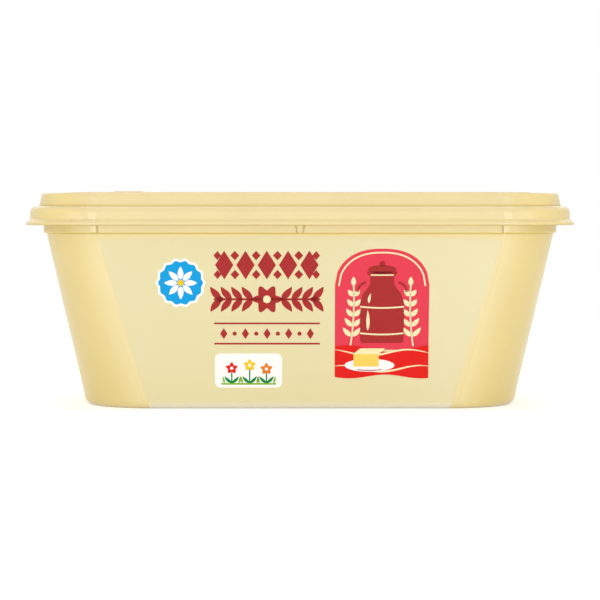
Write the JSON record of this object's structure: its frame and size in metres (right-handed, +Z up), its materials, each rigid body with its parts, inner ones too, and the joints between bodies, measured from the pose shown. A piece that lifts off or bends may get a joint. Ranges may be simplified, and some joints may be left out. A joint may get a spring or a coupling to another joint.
{
  "type": "butter tub",
  "caption": "Shut rectangular butter tub with tapered walls, rounded corners and a stepped press-on lid with a flared skirt.",
  "frame": {"origin": "middle of the base, on the plane that the foot ring rests on", "axes": "+Z up through the lid; +X along the length; the printed front faces -Y"},
  "size_m": [0.145, 0.078, 0.0572],
  "materials": {
    "tub_plastic": "satin",
    "lid_plastic": "satin"
  },
  "bodies": {
    "root": {"tub": "tub_plastic", "lid": "lid_plastic"}
  },
  "joints": []
}
